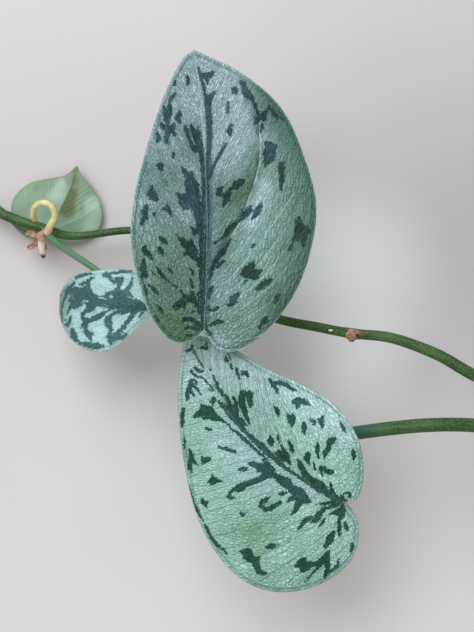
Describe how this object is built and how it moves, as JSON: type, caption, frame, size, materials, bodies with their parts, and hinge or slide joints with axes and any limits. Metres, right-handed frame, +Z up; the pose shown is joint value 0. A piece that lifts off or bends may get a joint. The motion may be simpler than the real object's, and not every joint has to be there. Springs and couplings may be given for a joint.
{
  "type": "potted silver lady scindapsus",
  "caption": "Trailing aroid house plant in a plain clay pot: silver heart-shaped leaves on stalks, and stems that hang over the rim and run along the surface.",
  "frame": {"origin": "middle of the pot's flat underside, on the surface that the pot stands on", "axes": "+Z up out of the pot; -X towards the two stems that trail away from the pot; the part is longest along X"},
  "size_m": [0.6317, 0.323, 0.1918],
  "materials": {
    "pot_clay": "bare fired clay, matt, with a faint pale bloom",
    "potting_soil": "rough peat and bark mix",
    "stem_green": "finely speckled green, satin",
    "leaf_silver": "silver grey-green with dark green blotches, grainy satin",
    "leaf_back": "pale matt green leaf underside",
    "root_cream": "young cream-yellow root, smooth",
    "sheath_dry": "dry papery brown"
  },
  "bodies": {
    "root": {"pot": "pot_clay", "soil": "potting_soil", "stem_long": "stem_green", "stem_short": "stem_green", "stem_front": "stem_green", "shoot_1": "stem_green", "shoot_2": "stem_green", "shoot_3": "stem_green", "shoot_4": "stem_green", "shoot_5": "stem_green", "leaf_long_1": "leaf_silver", "leaf_large": "leaf_silver", "leaf_small": "leaf_silver", "leaf_turned": "leaf_back", "leaf_long_2": "leaf_silver", "leaf_long_3": "leaf_silver", "leaf_long_4": "leaf_silver", "leaf_short_1": "leaf_silver", "leaf_lower": "leaf_silver", "leaf_front_1": "leaf_silver", "leaf_front_2": "leaf_silver", "leaf_front_3": "leaf_silver", "leaf_front_4": "leaf_silver", "leaf_front_5": "leaf_silver", "leaf_front_6": "leaf_silver", "leaf_crown_1": "leaf_silver", "leaf_crown_2": "leaf_silver", "leaf_crown_3": "leaf_silver", "leaf_crown_4": "leaf_silver", "leaf_crown_5": "leaf_silver", "leaf_crown_6": "leaf_silver", "leaf_crown_7": "leaf_silver", "leaf_crown_8": "leaf_silver", "leaf_crown_9": "leaf_silver", "leaf_crown_10": "leaf_silver", "leaf_crown_11": "leaf_silver", "leaf_crown_12": "leaf_silver", "leaf_crown_13": "leaf_silver", "leaf_crown_14": "leaf_silver", "leaf_crown_15": "leaf_silver", "leaf_crown_16": "leaf_silver", "leaf_crown_17": "leaf_silver", "leaf_crown_18": "leaf_silver", "leaf_crown_19": "leaf_silver", "leaf_crown_20": "leaf_silver", "leaf_crown_21": "leaf_silver", "curled_root": "root_cream", "sheath_far": "sheath_dry", "sheath_near": "sheath_dry"}
  },
  "joints": []
}
